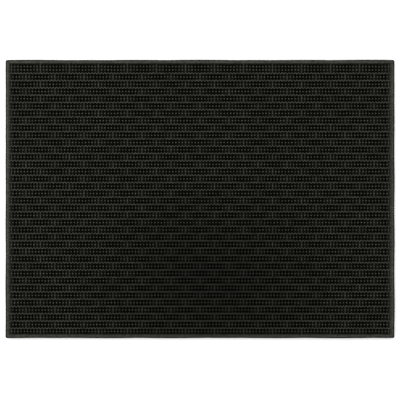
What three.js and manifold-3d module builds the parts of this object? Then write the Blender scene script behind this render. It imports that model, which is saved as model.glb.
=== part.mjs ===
// A moulded rubber scraper mat. A thin base sheet carries a plain edge band and, inside it, courses
// of upright pins. A rib closes each course, and cross webs divide it into cells that are staggered
// like bricks from one course to the next. Millimetres, +Z up. The origin is on the floor, under the
// centre of the mat. +X runs along the long side and +Y from the front edge to the back edge.

import * as THREE from 'three';
import { mergeVertices } from 'three/addons/utils/BufferGeometryUtils.js';
import Module from 'manifold-3d';

// Overall sizes
const MAT_LENGTH = 700;
const MAT_WIDTH = 500;
const BASE_THICKNESS = 3;
const TREAD_HEIGHT = 6;

// Edge band: its two widths, and the bevel on its outer top edge
const SIDE_EDGE_WIDTH = 6.2;
const END_EDGE_WIDTH = 5.8;
const EDGE_BEVEL = 1.2;

// Ribs, and the distance from the front edge band to the middle of the first rib
const RIB_PITCH = 13.1;
const RIB_THICKNESS = 1.75;
const FRONT_COURSE_DEPTH = 11.7;

// Pins, cells and cross webs
const PIN_PITCH = 5.8;
const PIN_DIAMETER = 2.5;
const PINS_PER_CELL = 9;
const WEB_THICKNESS = 1.1;

// Least space between the side edges and the last pin or web of a course
const END_GAP = 1;

// The clear field inside the edge band
const fieldHalfLength = MAT_LENGTH / 2 - SIDE_EDGE_WIDTH;
const fieldHalfWidth = MAT_WIDTH / 2 - END_EDGE_WIDTH;
const cellLength = PINS_PER_CELL * PIN_PITCH;

const rubber = { color: '#33342f', roughness: 0.78, metalness: 0 };
const edgeRubber = { color: '#3c3c35', roughness: 0.7, metalness: 0 };

const wasm = await Module();
wasm.setup();

function toSolid(geometry) {
  const bare = geometry.clone();
  bare.deleteAttribute('normal');
  bare.deleteAttribute('uv');
  const merged = mergeVertices(bare);
  const vertProperties = new Float32Array(merged.attributes.position.array);
  const triVerts = new Uint32Array(merged.index.array);
  return new wasm.Manifold(new wasm.Mesh({ numProp: 3, vertProperties, triVerts }));
}

function toGeometry(solid) {
  const { vertProperties, triVerts } = solid.getMesh();
  const geometry = new THREE.BufferGeometry();
  geometry.setAttribute('position', new THREE.BufferAttribute(vertProperties, 3));
  geometry.setIndex(new THREE.BufferAttribute(triVerts, 1));
  geometry.computeVertexNormals();
  return geometry;
}

// A box between two X and two Y values that stands on Z = 0.
function block(xLow, xHigh, yLow, yHigh, height) {
  const box = new THREE.BoxGeometry(xHigh - xLow, yHigh - yLow, height);
  return box.translate((xLow + xHigh) / 2, (yLow + yHigh) / 2, height / 2);
}

// Centres of a row of evenly spaced features, either side of the mat's middle: one of them, or a gap,
// is in the middle. None comes closer to the side edges than END_GAP.
function centresAcross(pitch, halfThickness, gapInMiddle) {
  const limit = fieldHalfLength - END_GAP - halfThickness;
  const first = gapInMiddle ? pitch / 2 : 0;
  const centres = [];
  for (let x = first; x <= limit; x += pitch) {
    centres.push(x);
    if (x > 0) centres.push(-x);
  }
  return centres;
}

// Every second course has a cross web on the middle line, and the others have a cell there. Pins keep
// their pitch through the webs, and a pin stands in every web.
function websInMiddle(courseIndex) {
  return courseIndex % 2 === 1;
}

function webCentres(courseIndex) {
  return centresAcross(cellLength, WEB_THICKNESS / 2, !websInMiddle(courseIndex));
}

function lastPinCentre(courseIndex) {
  const start = websInMiddle(courseIndex) ? 0 : cellLength / 2;
  const limit = fieldHalfLength - END_GAP - PIN_DIAMETER / 2;
  return start + Math.floor((limit - start) / PIN_PITCH) * PIN_PITCH;
}

// A course is as deep as one or two rows of pins need. They share its depth evenly.
function pinRows(depth) {
  const count = Math.max(1, Math.round((2 * depth) / RIB_PITCH) - 1);
  return Array.from({ length: count }, (_, row) => ((row + 1) * depth) / (count + 1));
}

// Middle lines of the ribs, from the front. What is left over goes to the course at the back.
function ribLines() {
  const span = 2 * (fieldHalfWidth - FRONT_COURSE_DEPTH);
  const count = Math.floor(span / RIB_PITCH) + 1;
  return Array.from({ length: count }, (_, rib) => FRONT_COURSE_DEPTH - fieldHalfWidth + rib * RIB_PITCH);
}

// One course: its pin rows, the cross webs through them and the rib at its back. Each row of pins is
// joined into one bar of the pins' width and height. Y = 0 is the course's front line: the middle of
// the rib in front of it, or the edge band.
function courseGeometry(courseIndex, depth, ribInFront, ribBehind) {
  const frontFace = ribInFront ? RIB_THICKNESS / 2 : 0;
  const backFace = ribBehind ? depth - RIB_THICKNESS / 2 : depth;
  const barEnd = lastPinCentre(courseIndex) + PIN_DIAMETER / 2;
  const blocks = pinRows(depth).map((y) =>
    block(-barEnd, barEnd, y - PIN_DIAMETER / 2, y + PIN_DIAMETER / 2, TREAD_HEIGHT));
  // A web runs into the middle of its own rib, so that the two are one body
  const webEnd = ribBehind ? depth : backFace;
  for (const x of webCentres(courseIndex)) {
    blocks.push(block(x - WEB_THICKNESS / 2, x + WEB_THICKNESS / 2, frontFace, webEnd, TREAD_HEIGHT));
  }
  if (ribBehind) {
    blocks.push(block(-fieldHalfLength, fieldHalfLength, backFace, depth + RIB_THICKNESS / 2, TREAD_HEIGHT));
  }
  return toGeometry(wasm.Manifold.union(blocks.map(toSolid)).asOriginal().simplify());
}

// The mat's outline as a block with its top edge bevelled all round. The four strips of the edge band
// are cut from it.
function bevelledOutline() {
  const shape = new THREE.Shape();
  const halfLength = MAT_LENGTH / 2 - EDGE_BEVEL;
  const halfWidth = MAT_WIDTH / 2 - EDGE_BEVEL;
  shape.moveTo(-halfLength, -halfWidth);
  shape.lineTo(halfLength, -halfWidth);
  shape.lineTo(halfLength, halfWidth);
  shape.lineTo(-halfLength, halfWidth);
  shape.closePath();
  const bevelled = new THREE.ExtrudeGeometry(shape, {
    depth: TREAD_HEIGHT,
    bevelThickness: EDGE_BEVEL,
    bevelSize: EDGE_BEVEL,
    bevelSegments: 1,
  });
  // Its lower bevel goes below Z = 0, where no strip reaches
  return toSolid(bevelled.translate(0, 0, -EDGE_BEVEL));
}

function edgeGeometry(outline, xLow, xHigh, yLow, yHigh) {
  return toGeometry(outline.intersect(toSolid(block(xLow, xHigh, yLow, yHigh, TREAD_HEIGHT))));
}

function addMesh(parent, name, geometry, finish, y, z) {
  const mesh = new THREE.Mesh(geometry, new THREE.MeshStandardMaterial(finish));
  mesh.name = name;
  mesh.position.set(0, y, z);
  parent.add(mesh);
}

function addEdgeBand(tread) {
  const outline = bevelledOutline();
  const outerX = MAT_LENGTH / 2;
  const outerY = MAT_WIDTH / 2;
  const innerX = fieldHalfLength;
  const innerY = fieldHalfWidth;
  const strips = {
    edge_left: [-outerX, -innerX, -outerY, outerY],
    edge_right: [innerX, outerX, -outerY, outerY],
    edge_front: [-innerX, innerX, -outerY, -innerY],
    edge_back: [-innerX, innerX, innerY, outerY],
  };
  for (const [name, limits] of Object.entries(strips)) {
    addMesh(tread, name, edgeGeometry(outline, ...limits), edgeRubber, 0, 0);
  }
}

function addCourses(tread) {
  const lines = [-fieldHalfWidth, ...ribLines(), fieldHalfWidth];
  const last = lines.length - 2;
  for (let index = 0; index <= last; index += 1) {
    const depth = lines[index + 1] - lines[index];
    const geometry = courseGeometry(index, depth, index > 0, index < last);
    const name = `course_${String(index + 1).padStart(2, '0')}`;
    addMesh(tread, name, geometry, rubber, lines[index], 0);
  }
}

const mat = new THREE.Group();
const baseSheet = block(-MAT_LENGTH / 2, MAT_LENGTH / 2, -MAT_WIDTH / 2, MAT_WIDTH / 2, BASE_THICKNESS);
addMesh(mat, 'base_sheet', baseSheet, rubber, 0, 0);

// Everything that stands on the base sheet
const tread = new THREE.Group();
tread.position.z = BASE_THICKNESS;
addEdgeBand(tread);
addCourses(tread);
mat.add(tread);

export default mat;
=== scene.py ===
"""The looks of a moulded rubber scraper mat: round pins in brick-staggered cells, wavy ribs, cross webs
with sloping feet, low fins and rails between the pins, a plain edge band and a studded underside.
Metres, +Z up, in the CAD model's frame."""

import math

import bpy
import numpy as np
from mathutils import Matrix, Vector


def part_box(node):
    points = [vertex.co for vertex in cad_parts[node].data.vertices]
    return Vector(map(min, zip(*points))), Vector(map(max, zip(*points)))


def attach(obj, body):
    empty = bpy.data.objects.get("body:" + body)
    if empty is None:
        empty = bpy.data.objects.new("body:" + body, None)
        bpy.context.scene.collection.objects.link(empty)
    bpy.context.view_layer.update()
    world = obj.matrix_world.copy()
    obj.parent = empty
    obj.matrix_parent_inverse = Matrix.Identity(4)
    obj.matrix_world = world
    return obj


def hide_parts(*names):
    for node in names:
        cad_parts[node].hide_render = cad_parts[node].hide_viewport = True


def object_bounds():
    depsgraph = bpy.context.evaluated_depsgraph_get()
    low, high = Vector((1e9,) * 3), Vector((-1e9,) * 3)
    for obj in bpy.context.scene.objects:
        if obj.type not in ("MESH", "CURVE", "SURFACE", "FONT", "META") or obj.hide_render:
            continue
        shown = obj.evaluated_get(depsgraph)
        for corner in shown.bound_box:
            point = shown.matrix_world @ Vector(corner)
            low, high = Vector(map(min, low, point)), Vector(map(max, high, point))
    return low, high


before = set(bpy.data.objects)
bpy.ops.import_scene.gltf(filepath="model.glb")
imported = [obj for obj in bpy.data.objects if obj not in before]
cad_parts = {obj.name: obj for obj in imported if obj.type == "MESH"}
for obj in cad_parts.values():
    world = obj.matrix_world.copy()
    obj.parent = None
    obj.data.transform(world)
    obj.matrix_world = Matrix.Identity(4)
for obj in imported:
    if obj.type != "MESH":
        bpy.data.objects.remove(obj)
cad_low, cad_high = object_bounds()

MM = 0.001

# Sizes of the tread's pattern, the same as the CAD model's
PIN_PITCH = 5.8 * MM
PINS_PER_CELL = 9
RIB_PITCH = 13.1 * MM
RIB_THICKNESS = 1.75 * MM
PIN_DIAMETER = 2.5 * MM
WEB_THICKNESS = 1.1 * MM
CELL_LENGTH = PINS_PER_CELL * PIN_PITCH

# Where the CAD model says the parts of the mat lie
SHEET_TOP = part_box("base_sheet")[1][2]
TREAD_TOP = cad_high[2]
HALF_LENGTH = cad_high[0]
HALF_WIDTH = cad_high[1]
FIELD_HALF_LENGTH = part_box("edge_right")[0][0]
FIELD_HALF_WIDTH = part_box("edge_back")[0][1]
COURSES = sorted(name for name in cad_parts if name.startswith("course_"))

# Whatever stands on the sheet starts a little inside it
ROOT = SHEET_TOP - 0.1 * MM

# Ribs: how far the wave swings, how much further each side reaches at the root, the rounding of the top,
# and the sections in a pin's pitch
RIB_WAVE = 1.0 * MM
RIB_DRAFT = 0.25 * MM
TOP_ROUNDING = 0.3 * MM
STATIONS_PER_PITCH = 8

# Pins: how far a tip leans and how much shorter a pin is, both as standard deviations
PIN_LEAN = 0.16 * MM
PIN_SHORTFALL = 0.07 * MM
PIN_SEGMENTS = 14

# Webs: how far their top is below the tread's, and how much thicker they are at ribs and pins. Then the
# feet that slope away from them along the cell's floor, and where across a foot its slope is cut
WEB_DROP = 1.0 * MM
WEB_FLARE = 0.45 * MM
FOOT_HEIGHT = 1.9 * MM
FOOT_STEPS = np.array([0.95, 1.9, 2.9, 4.3, 5.8, 8.7, 14.0]) * MM
FOOT_REACH = FOOT_STEPS[-1]

# Fins and rails between the pins. A fin's heights above the sheet are at a web and in the middle of a cell
FIN_THICKNESS = 1.2 * MM
FIN_HEIGHT = 3.8 * MM
FIN_HEIGHT_IN_MIDDLE = 1.7 * MM
FIN_SAG = 0.5 * MM
RAIL_DROP = 1.2 * MM

# Edge band: the rounding of its outer edge, how far its front and back stand proud of the CAD model,
# how strongly its outline wanders outwards, how close to a side a point lies to wander with it, the
# corners along its inner side, and the steps that its outlines are cut into
EDGE_ROUNDING = 2.2 * MM
END_BULGE = 0.25 * MM
EDGE_WANDER = 0.4 * MM
WANDER_MARGIN = 4 * MM
BAND_INNER_RADIUS = 0.4 * MM
CORNER_STEPS = 6
LONG_SIDE_STEPS = 72
SHORT_SIDE_STEPS = 52

# Studs under the sheet
STUD_PITCH = 16 * MM
STUD_RADIUS = 2.6 * MM
STUD_HEIGHT = 0.5 * MM
STUD_SEGMENTS = 12

# Painted shade: the tops keep less of their worn colour around a spot, given in halves of the mat's length
# and width from its centre
SHADED_SPOT = (0.08, -0.6)
SPOT_SHADE_RADIUS = 0.1
SPOT_SHADE_FADE_RADIUS = 0.8
SPOT_SHADE_FACTOR = 0.44

# The picture: the share of its width that the mat takes, and where the camera is above the tread
PICTURE_SHARE = 0.9733
CAMERA_HEIGHT = 1.4
CAMERA_X = -0.1 * MM
CAMERA_Y = -1.8 * MM

LAMP_SIZE = (1.4, 0.8)
FLOOR_SIZE = 12
FLOOR_GAP = 0.2 * MM

rng = np.random.default_rng(11)


# ---------------------------------------------------------------- materials

class Nodes:
    """A new material's node tree, with short calls for the nodes that the rubbers share."""

    def __init__(self, name):
        self.material = bpy.data.materials.new(name)
        self.material.use_nodes = True
        self.tree = self.material.node_tree
        self.shader = self.tree.nodes["Principled BSDF"]
        self.place = self.add("ShaderNodeTexCoord").outputs["Object"]

    def add(self, kind, **settings):
        node = self.tree.nodes.new(kind)
        for key, value in settings.items():
            setattr(node, key, value)
        return node

    def link(self, source, target):
        self.tree.links.new(source, target)

    def noise(self, scale, detail):
        """Noise with about as many features to the metre as its scale."""
        node = self.add("ShaderNodeTexNoise")
        node.inputs["Scale"].default_value = scale
        node.inputs["Detail"].default_value = detail
        node.inputs["Roughness"].default_value = 0.55
        self.link(self.place, node.inputs["Vector"])
        return node.outputs["Fac"]

    def ranged(self, value, low, high, to_low, to_high):
        """The value, clamped between low and high and stretched to the new range."""
        node = self.add("ShaderNodeMapRange")
        self.link(value, node.inputs["Value"])
        limits = {"From Min": low, "From Max": high, "To Min": to_low, "To Max": to_high}
        for socket, number in limits.items():
            node.inputs[socket].default_value = number
        return node.outputs["Result"]

    def mixed(self, factor, first, second):
        node = self.add("ShaderNodeMix", data_type="RGBA")
        self.link(factor, node.inputs["Factor"])
        for socket, colour in ((node.inputs[6], first), (node.inputs[7], second)):
            if isinstance(colour, tuple):
                socket.default_value = (*colour, 1)
            else:
                self.link(colour, socket)
        return node.outputs[2]

    def product(self, first, second):
        node = self.add("ShaderNodeMath", operation="MULTIPLY")
        self.link(first, node.inputs[0])
        self.link(second, node.inputs[1])
        return node.outputs[0]

    def height(self):
        node = self.add("ShaderNodeSeparateXYZ")
        self.link(self.place, node.inputs["Vector"])
        return node.outputs["Z"]

    def from_shaded_spot(self):
        """Distance from the spot of painted shade, in halves of the mat's length and width."""
        shifted = self.add("ShaderNodeVectorMath", operation="MULTIPLY_ADD")
        shifted.inputs[1].default_value = (1 / HALF_LENGTH, 1 / HALF_WIDTH, 0)
        shifted.inputs[2].default_value = (-SHADED_SPOT[0], -SHADED_SPOT[1], 0)
        self.link(self.place, shifted.inputs[0])
        distance = self.add("ShaderNodeVectorMath", operation="LENGTH")
        self.link(shifted.outputs["Vector"], distance.inputs[0])
        return distance.outputs["Value"]

    def bump(self, value, strength, distance):
        node = self.add("ShaderNodeBump")
        node.inputs["Strength"].default_value = strength
        node.inputs["Distance"].default_value = distance
        self.link(value, node.inputs["Height"])
        return node


def rubber(name, body, worn, shade_fades_from, roughness, specular, grain):
    """Black rubber with a fine moulded grain, mottled between the body's two colours, which are darker than
    black rubber is: painted shade on all that lies below the tops.
    Above a given height it turns towards the worn colour, real wear and dust on the tops, in scuffs about
    as wide as a pin that also stand in as painted glints, and less so around a spot towards the front,
    which is painted shade."""
    nodes = Nodes(name)
    mottle = nodes.ranged(nodes.noise(210, 3), 0.35, 0.65, 0.0, 1.0)
    # Painted shade and real wear: the body colour low down stands in for shade, the worn colour at the tops
    # is real
    near_top = nodes.ranged(nodes.height(), shade_fades_from, TREAD_TOP, 0.0, 1.0)
    # Real scuffs on the tops, whose brightest patches are painted glints on the pins
    scuffs_and_glints = nodes.product(
        nodes.ranged(nodes.noise(260, 3), 0.3, 0.7, 0.34, 1.08),
        nodes.ranged(nodes.noise(22, 2), 0.3, 0.7, 0.78, 1.0),
    )
    # Painted shade: the tops are darker around a spot towards the front
    spot_shade = nodes.ranged(nodes.from_shaded_spot(), SPOT_SHADE_RADIUS, SPOT_SHADE_FADE_RADIUS, SPOT_SHADE_FACTOR, 1.0)
    wear_and_shade = nodes.product(nodes.product(near_top, scuffs_and_glints), spot_shade)
    colour = nodes.mixed(wear_and_shade, nodes.mixed(mottle, *body), worn)
    nodes.link(colour, nodes.shader.inputs["Base Color"])
    sheen = nodes.ranged(nodes.noise(420, 4), 0.25, 0.75, roughness - 0.08, roughness + 0.1)
    nodes.link(sheen, nodes.shader.inputs["Roughness"])
    nodes.shader.inputs["Specular IOR Level"].default_value = specular
    fine = nodes.bump(nodes.noise(2600, 2), grain, 0.12 * MM)
    broad = nodes.bump(nodes.noise(330, 3), grain, 0.2 * MM)
    nodes.link(fine.outputs["Normal"], broad.inputs["Normal"])
    nodes.link(broad.outputs["Normal"], nodes.shader.inputs["Normal"])
    return nodes.material


# Both body colours are darker than black rubber is, as painted shade below the tops and on the sheet
# between them
SHADED_TREAD_BODY = ((0.0009, 0.0011, 0.0003), (0.0042, 0.0046, 0.0026))
SHADED_SHEET_BODY = ((0.0018, 0.0020, 0.0010), (0.0026, 0.0028, 0.0015))

TREAD_RUBBER = rubber("tread_rubber", SHADED_TREAD_BODY, worn=(0.0466, 0.0487, 0.0380),
                      shade_fades_from=SHEET_TOP + 1.3 * MM, roughness=0.50, specular=0.06, grain=0.35)
PIN_RUBBER = rubber("pin_rubber", SHADED_TREAD_BODY, worn=(0.0590, 0.0616, 0.0482),
                    shade_fades_from=SHEET_TOP + 1.3 * MM, roughness=0.50, specular=0.06, grain=0.35)
EDGE_RUBBER = rubber("edge_rubber", SHADED_TREAD_BODY, worn=(0.0410, 0.0427, 0.0336),
                     shade_fades_from=TREAD_TOP - 0.12 * MM, roughness=0.42, specular=0.09, grain=0.22)
FOOT_RUBBER = rubber("foot_rubber", SHADED_TREAD_BODY, worn=(0.0490, 0.0513, 0.0400),
                     shade_fades_from=SHEET_TOP + 0.3 * MM, roughness=0.50, specular=0.06, grain=0.35)
SHEET_RUBBER = rubber("sheet_rubber", SHADED_SHEET_BODY, worn=SHADED_SHEET_BODY[1],
                      shade_fades_from=SHEET_TOP, roughness=0.80, specular=0.04, grain=0.50)


# ---------------------------------------------------------------- mesh helpers

def add_piece(name, vertices, faces, material, slot, replaced):
    mesh = bpy.data.meshes.new(name)
    mesh.from_pydata(np.asarray(vertices).tolist(), [], faces)
    mesh.validate()
    mesh.polygons.foreach_set("use_smooth", [True] * len(mesh.polygons))
    mesh.set_sharp_from_angle(angle=math.radians(42))
    mesh.materials.append(material)
    piece = bpy.data.objects.new(name, mesh)
    bpy.context.scene.collection.objects.link(piece)
    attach(piece, "root")
    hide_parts(*replaced)


def bands(count, around, closed):
    """Four-sided faces between each row of points and the next. A closed stack's last row meets its
    first."""
    faces = []
    for row in range(count if closed else count - 1):
        low, high = row * around, (row + 1) % count * around
        for i in range(around):
            j = (i + 1) % around
            faces.append((low + i, low + j, high + j, high + i))
    return faces


def loft(sections):
    """One closed body through a stack of closed sections, each with the same number of points."""
    sections = np.asarray(sections)
    count, around = sections.shape[:2]
    faces = bands(count, around, closed=False)
    faces.append(tuple(range(around - 1, -1, -1)))
    faces.append(tuple((count - 1) * around + i for i in range(around)))
    return sections.reshape(-1, 3), faces


def tube(outlines):
    """A closed ring-shaped body through outlines that go round its section."""
    outlines = np.asarray(outlines)
    return outlines.reshape(-1, 3), bands(*outlines.shape[:2], closed=True)


def joined(bodies):
    """Several bodies as one list of vertices and one of faces."""
    vertices, faces, offset = [], [], 0
    for body_vertices, body_faces in bodies:
        vertices.append(body_vertices)
        faces += [tuple(i + offset for i in face) for face in body_faces]
        offset += len(body_vertices)
    return np.concatenate(vertices), faces


def mirrored(side):
    """A section from its left half, or from its right half: distance across and height of each point."""
    return side + [(-across, z) for across, z in reversed(side)]


# ---------------------------------------------------------------- the tread

def webs_in_middle(course):
    """Whether a course has a web on the mat's middle line. The others have the middle of a cell there."""
    return course % 2 == 1


def pin_centres(course):
    """X of a row's pins. In the courses with a web on the middle line, the last pins stand against the
    edge band."""
    start = 0.0 if webs_in_middle(course) else PIN_PITCH / 2
    last = FIELD_HALF_LENGTH + 0.1 * PIN_PITCH
    side = np.arange(start, last, PIN_PITCH)
    return np.unique(np.concatenate([-side, side]).round(7))


def web_centres(course):
    start = 0.0 if webs_in_middle(course) else CELL_LENGTH / 2
    side = np.arange(start, FIELD_HALF_LENGTH - WEB_THICKNESS, CELL_LENGTH)
    return np.unique(np.concatenate([-side, side]).round(7))


def pin_rows(front, back):
    """Y of the rows of pins between a course's front and back lines, which share its depth evenly."""
    count = max(1, round(2 * (back - front) / RIB_PITCH) - 1)
    return [front + (row + 1) * (back - front) / (count + 1) for row in range(count)]


def stations(front, back, shares):
    """Y of the sections of a piece that runs from rib to rib, and how far each is from one rib or row of
    pins to the next, as a share. A share of 1 is the next share of 0, so it counts only at the back."""
    marks = [front, *pin_rows(front, back), back]
    for low, high in zip(marks, marks[1:]):
        for share in shares:
            if share < 1 or high == back:
                yield low + share * (high - low), share


def pin_profile():
    """Radius and height of a pin's rings: a flared foot, a drafted shank and a rounded tip."""
    r = PIN_DIAMETER / 2
    return [
        (r + 0.55 * MM, ROOT),
        (r + 0.22 * MM, SHEET_TOP + 0.7 * MM),
        (r + 0.10 * MM, SHEET_TOP + 2.6 * MM),
        (r, TREAD_TOP - 0.55 * MM),
        (r - 0.14 * MM, TREAD_TOP - 0.2 * MM),
        (r - 0.42 * MM, TREAD_TOP - 0.03 * MM),
    ]


def pin(x, y, circle):
    """A pin that leans and stands a little differently from the others, as flexible pins do."""
    lean = rng.normal(0, PIN_LEAN, 2).clip(-2 * PIN_LEAN, 2 * PIN_LEAN)
    shortfall = abs(rng.normal(0, PIN_SHORTFALL))
    sections = []
    for radius, z in pin_profile():
        share = (z - SHEET_TOP) / (TREAD_TOP - SHEET_TOP)
        ring = np.empty((PIN_SEGMENTS, 3))
        ring[:, :2] = circle * radius + (x, y) + lean * max(share, 0) ** 1.5
        ring[:, 2] = z - shortfall * share
        sections.append(ring)
    return loft(sections)


def pins(course, front, back):
    """Every pin of a course."""
    turn = np.arange(PIN_SEGMENTS) * 2 * math.pi / PIN_SEGMENTS
    circle = np.stack([np.cos(turn), np.sin(turn)], axis=1)
    return joined([pin(x, y, circle) for y in pin_rows(front, back) for x in pin_centres(course)])


def rib(y, bulge_sign):
    """A wavy rib: it bulges towards each pin on either side of it."""
    steps = round(2 * FIELD_HALF_LENGTH / PIN_PITCH * STATIONS_PER_PITCH)
    half = RIB_THICKNESS / 2
    profile = mirrored([
        (half + RIB_DRAFT, ROOT),
        (half + 0.4 * RIB_DRAFT, SHEET_TOP + 1.6 * MM),
        (half, TREAD_TOP - TOP_ROUNDING),
        (half - TOP_ROUNDING * 0.3, TREAD_TOP - TOP_ROUNDING * 0.3),
        (half - TOP_ROUNDING, TREAD_TOP),
    ])
    sections = []
    for x in np.linspace(-FIELD_HALF_LENGTH, FIELD_HALF_LENGTH, steps + 1):
        centre = y + bulge_sign * RIB_WAVE * math.cos(2 * math.pi * x / PIN_PITCH)
        sections.append([(x, centre + across, z) for across, z in profile])
    return loft(sections)


def web_section(x, y, half_top):
    """A web's section: a thin blade on a foot, which ends at the edge band where the cell is cut short."""
    top = TREAD_TOP - WEB_DROP
    side = [
        (half_top - 0.2 * MM, top),
        (half_top, top - 0.25 * MM),
        (half_top + 0.12 * MM, SHEET_TOP + 2.6 * MM),
    ]
    side += [(reach, SHEET_TOP + FOOT_HEIGHT * (1 - reach / FOOT_REACH) ** 1.4) for reach in FOOT_STEPS]
    side += [(FOOT_REACH, ROOT)]
    limit = FIELD_HALF_LENGTH
    return [(min(max(x + across, -limit), limit), y, z) for across, z in mirrored(side)]


def webs(course, front, back):
    """The cross webs of a course. A web is thicker at the ribs and at the pin that stands in it."""
    bodies = []
    for x in web_centres(course):
        sections = []
        for y, share in stations(front, back, (0.0, 0.2, 0.35, 0.65, 0.8, 1.0)):
            flare = WEB_FLARE * abs(2 * share - 1) ** 4
            sections.append(web_section(x, y, WEB_THICKNESS / 2 + flare))
        bodies.append(loft(sections))
    return joined(bodies)


def fin_height(course, x):
    """Height of a fin above the sheet: highest at a web, lowest in the middle of a cell."""
    from_web = (x - web_centres(course)[0]) / CELL_LENGTH
    nearness = 2 * abs(from_web - math.floor(from_web) - 0.5)
    share = 0.5 - 0.5 * math.cos(math.pi * nearness)
    return FIN_HEIGHT_IN_MIDDLE + (FIN_HEIGHT - FIN_HEIGHT_IN_MIDDLE) * share


def fin_section(top):
    """A fin's section, from its left foot over its round top to its right foot."""
    half = FIN_THICKNESS / 2
    return mirrored([(-half - 0.35 * MM, ROOT), (-half, top - 0.35 * MM), (-0.3 * MM, top)])


def fins(course, front, back):
    """A fin on each pin's middle line, which ties the pin to the ribs in front of it and behind it."""
    bodies = []
    for x in pin_centres(course):
        height = fin_height(course, x)
        sections = []
        for y, share in stations(front, back, (0.0, 0.25, 0.5, 0.75, 1.0)):
            top = SHEET_TOP + height - FIN_SAG * math.sin(share * math.pi)
            sections.append([(x + across, y, z) for across, z in fin_section(top)])
        bodies.append(loft(sections))
    return joined(bodies)


def rails(course, front, back):
    """A rail along each row of pins, a little lower than the fins that cross it."""
    pitches = math.floor(FIELD_HALF_LENGTH / PIN_PITCH * 2)
    places = [-FIELD_HALF_LENGTH, *(np.arange(-pitches, pitches + 1) * PIN_PITCH / 2), FIELD_HALF_LENGTH]
    bodies = []
    for y in pin_rows(front, back):
        sections = []
        for x in places:
            top = SHEET_TOP + fin_height(course, x) - RAIL_DROP
            sections.append([(x, y - across, z) for across, z in fin_section(top)])
        bodies.append(loft(sections))
    return joined(bodies)


def build_tread():
    front = -FIELD_HALF_WIDTH
    for index, node in enumerate(COURSES):
        last = node == COURSES[-1]
        back = FIELD_HALF_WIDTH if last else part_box(node)[1][1] - RIB_THICKNESS / 2
        label = node.replace("course_", "")
        # The ribs' waves alternate with the courses, so that each bulge meets a pin
        if not last:
            bulge_sign = -1.0 if webs_in_middle(index) else 1.0
            add_piece(f"rib_{label}", *rib(back, bulge_sign), TREAD_RUBBER, "tread_rubber", [node])
        add_piece(f"webs_{label}", *webs(index, front, back), TREAD_RUBBER, "tread_rubber", [node])
        add_piece(f"fins_{label}", *fins(index, front, back), TREAD_RUBBER, "tread_rubber", [node])
        add_piece(f"rails_{label}", *rails(index, front, back), TREAD_RUBBER, "tread_rubber", [node])
        add_piece(f"pins_{label}", *pins(index, front, back), PIN_RUBBER, "tread_rubber", [node])
        front = back


# ---------------------------------------------------------------- edge band and sheet

def corner_arc(centre, radius, start):
    """Points of a quarter circle that starts at an angle in degrees."""
    angles = [math.radians(start + 90 * step / CORNER_STEPS) for step in range(CORNER_STEPS + 1)]
    return [(centre[0] + radius * math.cos(a), centre[1] + radius * math.sin(a)) for a in angles]


def between(begin, end, steps):
    """The points that cut a straight line into even steps, without its ends."""
    shares = [step / steps for step in range(1, steps)]
    return [(begin[0] + s * (end[0] - begin[0]), begin[1] + s * (end[1] - begin[1])) for s in shares]


def rounded_rectangle(half_x, half_y, radius):
    """Its corners and the sides between them, anticlockwise from the right side's back end."""
    corners = []
    for side_x, side_y, start in ((1, 1, 0), (-1, 1, 90), (-1, -1, 180), (1, -1, 270)):
        centre = (side_x * (half_x - radius), side_y * (half_y - radius))
        corners.append(corner_arc(centre, radius, start))
    points = []
    for index, corner in enumerate(corners):
        steps = LONG_SIDE_STEPS if index % 2 == 0 else SHORT_SIDE_STEPS
        points += corner + between(corner[-1], corners[(index + 1) % 4][0], steps)
    return points


def ring_outline(inset_x, inset_y, radius, wander):
    """A rounded rectangle inset from the mat's outline. wander moves it outwards, by more here and by less
    there."""
    half_x, half_y = HALF_LENGTH - inset_x, HALF_WIDTH - inset_y
    moved = []
    for x, y in rounded_rectangle(half_x, half_y, radius):
        sway = wander * (math.sin(31 * x + 3 * y + 1.0) + 0.6 * math.sin(57 * y - 11 * x + 0.4))
        at_side, at_end = abs(x) > half_x - WANDER_MARGIN, abs(y) > half_y - WANDER_MARGIN
        moved.append((x + math.copysign(sway, x) * at_side, y + math.copysign(sway, y) * at_end))
    return moved


def inner_outlines(steps):
    """Outlines beside the edge band's inner side. A step is its outset from the side strips' inner side and
    from the end strips', and its height."""
    side, end = HALF_LENGTH - FIELD_HALF_LENGTH, HALF_WIDTH - FIELD_HALF_WIDTH
    return [[(x, y, z) for x, y in ring_outline(side - outset_x, end - outset_y, BAND_INNER_RADIUS, 0.0)]
            for outset_x, outset_y, z in steps]


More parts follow.
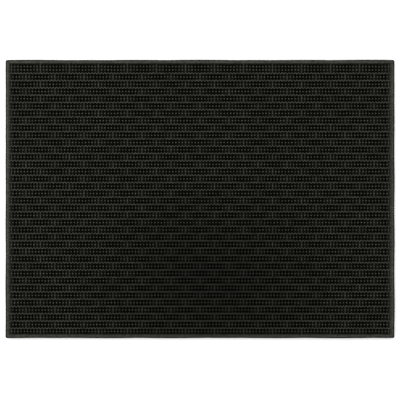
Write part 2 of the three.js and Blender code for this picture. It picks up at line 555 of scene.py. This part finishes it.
def build_edge_band():
    top = TREAD_TOP
    # Inset from the outside, height, corner radius, and how much of the outline's wander reaches it
    outer = [
        (0.5 * MM, 0.0, 2.5 * MM, 1.0),
        (0.0, 0.5 * MM, 3.0 * MM, 1.0),
        (0.0, top - EDGE_ROUNDING, 3.0 * MM, 1.0),
        (0.25 * MM, top - 0.65 * EDGE_ROUNDING, 2.8 * MM, 1.0),
        (0.9 * MM, top - 0.35 * EDGE_ROUNDING, 2.4 * MM, 1.0),
        (2.0 * MM, top - 0.12 * EDGE_ROUNDING, 1.8 * MM, 0.8),
        (2.8 * MM, top, 1.2 * MM, 0.6),
    ]
    outlines = [[(x, y, z) for x, y in ring_outline(inset, inset - END_BULGE, radius, EDGE_WANDER * share)]
                for inset, z, radius, share in outer]
    inner = [
        (0.7 * MM, 0.7 * MM, top),
        (0.45 * MM, 0.45 * MM, top),
        (0.12 * MM, 0.12 * MM, top - 0.12 * MM),
        (0.0, 0.0, top - 0.45 * MM),
        (0.0, 0.0, 0.0),
    ]
    strips = ["edge_front", "edge_back", "edge_left", "edge_right"]
    add_piece("edge_band", *tube(outlines + inner_outlines(inner)), EDGE_RUBBER, "edge_rubber", strips)
    # The foot slopes down to the sheet, and reaches further from the side strips than from the end strips
    foot = [
        (0.3 * MM, 0.3 * MM, top - 0.5 * MM),
        (-0.1 * MM, -0.1 * MM, top - 0.6 * MM),
        (-1.0 * MM, -0.6 * MM, SHEET_TOP + 4.2 * MM),
        (-2.0 * MM, -0.9 * MM, SHEET_TOP + 2.9 * MM),
        (-3.2 * MM, -1.2 * MM, SHEET_TOP + 1.7 * MM),
        (-4.8 * MM, -1.6 * MM, SHEET_TOP + 0.8 * MM),
        (-8.0 * MM, -2.4 * MM, ROOT),
        (0.3 * MM, 0.3 * MM, ROOT),
    ]
    add_piece("edge_foot", *tube(inner_outlines(foot)), FOOT_RUBBER, "edge_rubber", strips)


def stud(x, y):
    """A low round stud that hangs from the sheet's underside down to the floor."""
    turn = -np.arange(STUD_SEGMENTS) * 2 * math.pi / STUD_SEGMENTS
    rings = []
    for share, z in ((1.0, STUD_HEIGHT + 0.1 * MM), (0.93, 0.22 * MM), (0.75, 0.03 * MM), (0.55, 0.0)):
        radius = STUD_RADIUS * share
        rings.append([(x + radius * math.cos(a), y + radius * math.sin(a), z) for a in turn])
    return loft(rings)


def build_sheet():
    x, y = FIELD_HALF_LENGTH, FIELD_HALF_WIDTH
    bodies = [loft([[(-x, -y, z), (x, -y, z), (x, y, z), (-x, y, z)] for z in (STUD_HEIGHT, SHEET_TOP)])]
    columns = int((x - STUD_RADIUS) // STUD_PITCH)
    rows = int((y - STUD_RADIUS) // STUD_PITCH)
    for column in range(-columns, columns + 1):
        for row in range(-rows, rows + 1):
            bodies.append(stud(column * STUD_PITCH, row * STUD_PITCH))
    add_piece("base", *joined(bodies), SHEET_RUBBER, "sheet_rubber", ["base_sheet"])


# ---------------------------------------------------------------- stage, light and camera

def build_stage():
    bpy.ops.mesh.primitive_plane_add(size=FLOOR_SIZE, location=(0, 0, -FLOOR_GAP))
    floor = bpy.context.object
    floor.name = "floor"
    nodes = Nodes("pale_floor")
    nodes.shader.inputs["Base Color"].default_value = (0.9, 0.9, 0.9, 1)
    nodes.shader.inputs["Roughness"].default_value = 0.9
    nodes.shader.inputs["Specular IOR Level"].default_value = 0.1
    floor.data.materials.append(nodes.material)


def area_light(name, place, power):
    """A lamp that points at the middle of the mat."""
    light = bpy.data.lights.new(name, "AREA")
    light.shape = "RECTANGLE"
    light.size, light.size_y = LAMP_SIZE
    light.energy = power
    lamp = bpy.data.objects.new(name, light)
    bpy.context.scene.collection.objects.link(lamp)
    lamp.location = place
    lamp.rotation_mode = "QUATERNION"
    lamp.rotation_quaternion = (-lamp.location).to_track_quat("-Z", "Y")


def build_light():
    world = bpy.data.worlds.new("studio")
    bpy.context.scene.world = world
    world.use_nodes = True
    background = world.node_tree.nodes["Background"]
    background.inputs["Color"].default_value = (1, 1, 1, 1)
    background.inputs["Strength"].default_value = 0.52
    area_light("left", place=(-1.1, 0.25, 1.0), power=16)
    area_light("right", place=(1.1, 0.1, 1.1), power=8)
    area_light("back", place=(0.0, 1.1, 1.1), power=11)
    area_light("front", place=(0.0, -1.5, 1.5), power=14)
    bpy.context.scene.view_settings.view_transform = "Standard"


def build_camera():
    """Straight above the mat, with the lens that gives the mat its share of the picture's width."""
    picture_width = 2 * HALF_LENGTH / PICTURE_SHARE
    camera = bpy.data.cameras.new("camera")
    camera.lens = camera.sensor_width * CAMERA_HEIGHT / picture_width
    eye = bpy.data.objects.new("camera", camera)
    bpy.context.scene.collection.objects.link(eye)
    eye.location = (CAMERA_X, CAMERA_Y, TREAD_TOP + CAMERA_HEIGHT)
    bpy.context.scene.camera = eye


build_camera()
build_light()
build_stage()
build_sheet()
build_edge_band()
build_tread()
